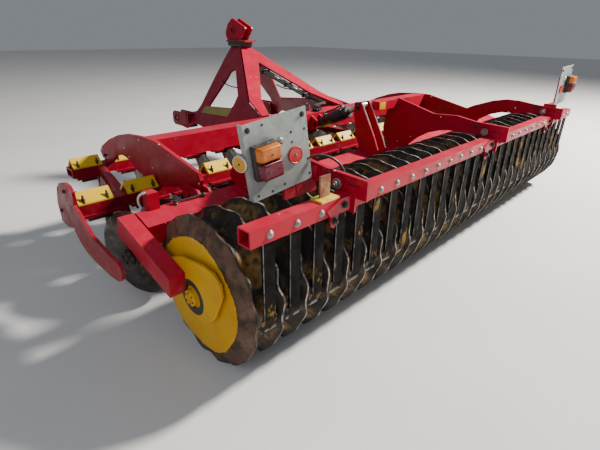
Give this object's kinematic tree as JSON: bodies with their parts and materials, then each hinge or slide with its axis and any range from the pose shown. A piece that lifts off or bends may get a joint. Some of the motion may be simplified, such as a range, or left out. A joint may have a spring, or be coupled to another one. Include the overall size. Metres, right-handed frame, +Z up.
{
  "type": "mounted compact disc harrow with packer roller",
  "caption": "Mounted compact disc harrow: two rows of independently hung discs, a ring packer roller with scrapers, a three-point headstock and rear light boards.",
  "frame": {"origin": "on the ground, at the middle of the machine's length and width", "axes": "+X to the right of the machine, +Y forward in the driving direction, +Z up"},
  "size_m": [3.898, 2.686, 1.357],
  "materials": {
    "red_paint": "warm red machine paint, semi-gloss, dusty and chipped on edges",
    "yellow_paint": "yellow machine paint, dusty",
    "roller_steel": "dark worn steel with bright crests, ochre soil in the grooves",
    "disc_steel": "dark oxidised disc steel with a worn rim",
    "worn_steel": "dark flat bar, bright worn lower edge",
    "galvanised_plate": "grey galvanised sheet",
    "lamp_plastic": "red and amber lamp lenses on a black base",
    "hose_rubber": "black hydraulic hose",
    "black_paint": "black cylinder barrel",
    "polished_rod": "chromed rod"
  },
  "bodies": {
    "main_frame": {"main_cross_tube": "red_paint", "front_disc_beam": "red_paint", "rear_disc_beam": "red_paint", "beam_spacers": "red_paint", "left_side_plate": "red_paint", "right_side_plate": "red_paint", "left_headstock_plate": "red_paint", "right_headstock_plate": "red_paint", "top_link_clevis": "red_paint", "headstock_braces": "red_paint", "lower_link_ears": "red_paint", "disc_clamps": "yellow_paint", "front_disc_arms": "red_paint", "rear_disc_arms": "red_paint", "side_limiters": "red_paint", "cylinder_lugs": "red_paint", "hydraulic_hoses": "hose_rubber"},
    "roller_frame": {"roller_front_tube": "red_paint", "roller_side_arms": "red_paint", "bearing_brackets": "yellow_paint", "scraper_beam": "red_paint", "scrapers": "worn_steel", "outer_arch_arms": "red_paint", "centre_arch_arm": "red_paint", "lever_plates": "red_paint", "light_brackets": "red_paint", "light_boards": "galvanised_plate", "lamps": "lamp_plastic"},
    "roller": {"packer_roller": "roller_steel"},
    "cylinder_barrel": {"depth_cylinder": "black_paint"},
    "cylinder_rod": {"depth_rod": "polished_rod"},
    "front_disc_01_body": {"front_disc_01": "disc_steel"},
    "front_disc_02_body": {"front_disc_02": "disc_steel"},
    "front_disc_03_body": {"front_disc_03": "disc_steel"},
    "front_disc_04_body": {"front_disc_04": "disc_steel"},
    "front_disc_05_body": {"front_disc_05": "disc_steel"},
    "front_disc_06_body": {"front_disc_06": "disc_steel"},
    "front_disc_07_body": {"front_disc_07": "disc_steel"},
    "front_disc_08_body": {"front_disc_08": "disc_steel"},
    "front_disc_09_body": {"front_disc_09": "disc_steel"},
    "front_disc_10_body": {"front_disc_10": "disc_steel"},
    "front_disc_11_body": {"front_disc_11": "disc_steel"},
    "front_disc_12_body": {"front_disc_12": "disc_steel"},
    "front_disc_13_body": {"front_disc_13": "disc_steel"},
    "front_disc_14_body": {"front_disc_14": "disc_steel"},
    "rear_disc_01_body": {"rear_disc_01": "disc_steel"},
    "rear_disc_02_body": {"rear_disc_02": "disc_steel"},
    "rear_disc_03_body": {"rear_disc_03": "disc_steel"},
    "rear_disc_04_body": {"rear_disc_04": "disc_steel"},
    "rear_disc_05_body": {"rear_disc_05": "disc_steel"},
    "rear_disc_06_body": {"rear_disc_06": "disc_steel"},
    "rear_disc_07_body": {"rear_disc_07": "disc_steel"},
    "rear_disc_08_body": {"rear_disc_08": "disc_steel"},
    "rear_disc_09_body": {"rear_disc_09": "disc_steel"},
    "rear_disc_10_body": {"rear_disc_10": "disc_steel"},
    "rear_disc_11_body": {"rear_disc_11": "disc_steel"},
    "rear_disc_12_body": {"rear_disc_12": "disc_steel"},
    "rear_disc_13_body": {"rear_disc_13": "disc_steel"},
    "rear_disc_14_body": {"rear_disc_14": "disc_steel"}
  },
  "joints": [
    {"name": "roller_depth", "type": "hinge", "parent": "main_frame", "child": "roller_frame", "pos_m": [0, -0.437, 0.52], "axis": [-1, 0, 0], "range_deg": [-4, 12]},
    {"name": "roller_spin", "type": "hinge", "parent": "roller_frame", "child": "roller", "pos_m": [0, -0.957, 0.318], "axis": [1, 0, 0], "continuous": true},
    {"name": "cylinder_swing", "type": "hinge", "parent": "main_frame", "child": "cylinder_barrel", "pos_m": [-0.15, -0.107, 0.645], "axis": [-1, 0, 0], "range_deg": [-4, 12]},
    {"name": "cylinder_stroke", "type": "slide", "parent": "cylinder_barrel", "child": "cylinder_rod", "axis": [0, -0.9108, 0.4129], "range_m": [-0.08, 0.03]},
    {"name": "front_disc_01_spin", "type": "hinge", "parent": "main_frame", "child": "front_disc_01_body", "pos_m": [-1.59, 0.318, 0.225], "axis": [0.9511, -0.309, 0], "continuous": true},
    {"name": "front_disc_02_spin", "type": "hinge", "parent": "main_frame", "child": "front_disc_02_body", "pos_m": [-1.34, 0.318, 0.225], "axis": [0.9511, -0.309, 0], "continuous": true},
    {"name": "front_disc_03_spin", "type": "hinge", "parent": "main_frame", "child": "front_disc_03_body", "pos_m": [-1.09, 0.318, 0.225], "axis": [0.9511, -0.309, 0], "continuous": true},
    {"name": "front_disc_04_spin", "type": "hinge", "parent": "main_frame", "child": "front_disc_04_body", "pos_m": [-0.84, 0.318, 0.225], "axis": [0.9511, -0.309, 0], "continuous": true},
    {"name": "front_disc_05_spin", "type": "hinge", "parent": "main_frame", "child": "front_disc_05_body", "pos_m": [-0.59, 0.318, 0.225], "axis": [0.9511, -0.309, 0], "continuous": true},
    {"name": "front_disc_06_spin", "type": "hinge", "parent": "main_frame", "child": "front_disc_06_body", "pos_m": [-0.34, 0.318, 0.225], "axis": [0.9511, -0.309, 0], "continuous": true},
    {"name": "front_disc_07_spin", "type": "hinge", "parent": "main_frame", "child": "front_disc_07_body", "pos_m": [-0.09, 0.318, 0.225], "axis": [0.9511, -0.309, 0], "continuous": true},
    {"name": "front_disc_08_spin", "type": "hinge", "parent": "main_frame", "child": "front_disc_08_body", "pos_m": [0.16, 0.318, 0.225], "axis": [0.9511, -0.309, 0], "continuous": true},
    {"name": "front_disc_09_spin", "type": "hinge", "parent": "main_frame", "child": "front_disc_09_body", "pos_m": [0.41, 0.318, 0.225], "axis": [0.9511, -0.309, 0], "continuous": true},
    {"name": "front_disc_10_spin", "type": "hinge", "parent": "main_frame", "child": "front_disc_10_body", "pos_m": [0.66, 0.318, 0.225], "axis": [0.9511, -0.309, 0], "continuous": true},
    {"name": "front_disc_11_spin", "type": "hinge", "parent": "main_frame", "child": "front_disc_11_body", "pos_m": [0.91, 0.318, 0.225], "axis": [0.9511, -0.309, 0], "continuous": true},
    {"name": "front_disc_12_spin", "type": "hinge", "parent": "main_frame", "child": "front_disc_12_body", "pos_m": [1.16, 0.318, 0.225], "axis": [0.9511, -0.309, 0], "continuous": true},
    {"name": "front_disc_13_spin", "type": "hinge", "parent": "main_frame", "child": "front_disc_13_body", "pos_m": [1.41, 0.318, 0.225], "axis": [0.9511, -0.309, 0], "continuous": true},
    {"name": "front_disc_14_spin", "type": "hinge", "parent": "main_frame", "child": "front_disc_14_body", "pos_m": [1.66, 0.318, 0.225], "axis": [0.9511, -0.309, 0], "continuous": true},
    {"name": "rear_disc_01_spin", "type": "hinge", "parent": "main_frame", "child": "rear_disc_01_body", "pos_m": [-1.762, -0.312, 0.225], "axis": [0.9511, 0.309, 0], "continuous": true},
    {"name": "rear_disc_02_spin", "type": "hinge", "parent": "main_frame", "child": "rear_disc_02_body", "pos_m": [-1.512, -0.312, 0.225], "axis": [0.9511, 0.309, 0], "continuous": true},
    {"name": "rear_disc_03_spin", "type": "hinge", "parent": "main_frame", "child": "rear_disc_03_body", "pos_m": [-1.262, -0.312, 0.225], "axis": [0.9511, 0.309, 0], "continuous": true},
    {"name": "rear_disc_04_spin", "type": "hinge", "parent": "main_frame", "child": "rear_disc_04_body", "pos_m": [-1.012, -0.312, 0.225], "axis": [0.9511, 0.309, 0], "continuous": true},
    {"name": "rear_disc_05_spin", "type": "hinge", "parent": "main_frame", "child": "rear_disc_05_body", "pos_m": [-0.762, -0.312, 0.225], "axis": [0.9511, 0.309, 0], "continuous": true},
    {"name": "rear_disc_06_spin", "type": "hinge", "parent": "main_frame", "child": "rear_disc_06_body", "pos_m": [-0.512, -0.312, 0.225], "axis": [0.9511, 0.309, 0], "continuous": true},
    {"name": "rear_disc_07_spin", "type": "hinge", "parent": "main_frame", "child": "rear_disc_07_body", "pos_m": [-0.262, -0.312, 0.225], "axis": [0.9511, 0.309, 0], "continuous": true},
    {"name": "rear_disc_08_spin", "type": "hinge", "parent": "main_frame", "child": "rear_disc_08_body", "pos_m": [-0.012, -0.312, 0.225], "axis": [0.9511, 0.309, 0], "continuous": true},
    {"name": "rear_disc_09_spin", "type": "hinge", "parent": "main_frame", "child": "rear_disc_09_body", "pos_m": [0.238, -0.312, 0.225], "axis": [0.9511, 0.309, 0], "continuous": true},
    {"name": "rear_disc_10_spin", "type": "hinge", "parent": "main_frame", "child": "rear_disc_10_body", "pos_m": [0.488, -0.312, 0.225], "axis": [0.9511, 0.309, 0], "continuous": true},
    {"name": "rear_disc_11_spin", "type": "hinge", "parent": "main_frame", "child": "rear_disc_11_body", "pos_m": [0.738, -0.312, 0.225], "axis": [0.9511, 0.309, 0], "continuous": true},
    {"name": "rear_disc_12_spin", "type": "hinge", "parent": "main_frame", "child": "rear_disc_12_body", "pos_m": [0.988, -0.312, 0.225], "axis": [0.9511, 0.309, 0], "continuous": true},
    {"name": "rear_disc_13_spin", "type": "hinge", "parent": "main_frame", "child": "rear_disc_13_body", "pos_m": [1.238, -0.312, 0.225], "axis": [0.9511, 0.309, 0], "continuous": true},
    {"name": "rear_disc_14_spin", "type": "hinge", "parent": "main_frame", "child": "rear_disc_14_body", "pos_m": [1.488, -0.312, 0.225], "axis": [0.9511, 0.309, 0], "continuous": true}
  ],
  "couplings": [
    {"joint": "cylinder_swing", "follows": "roller_depth", "ratio": 0.378},
    {"joint": "cylinder_stroke", "follows": "roller_depth", "m_per_rad": -0.26}
  ]
}
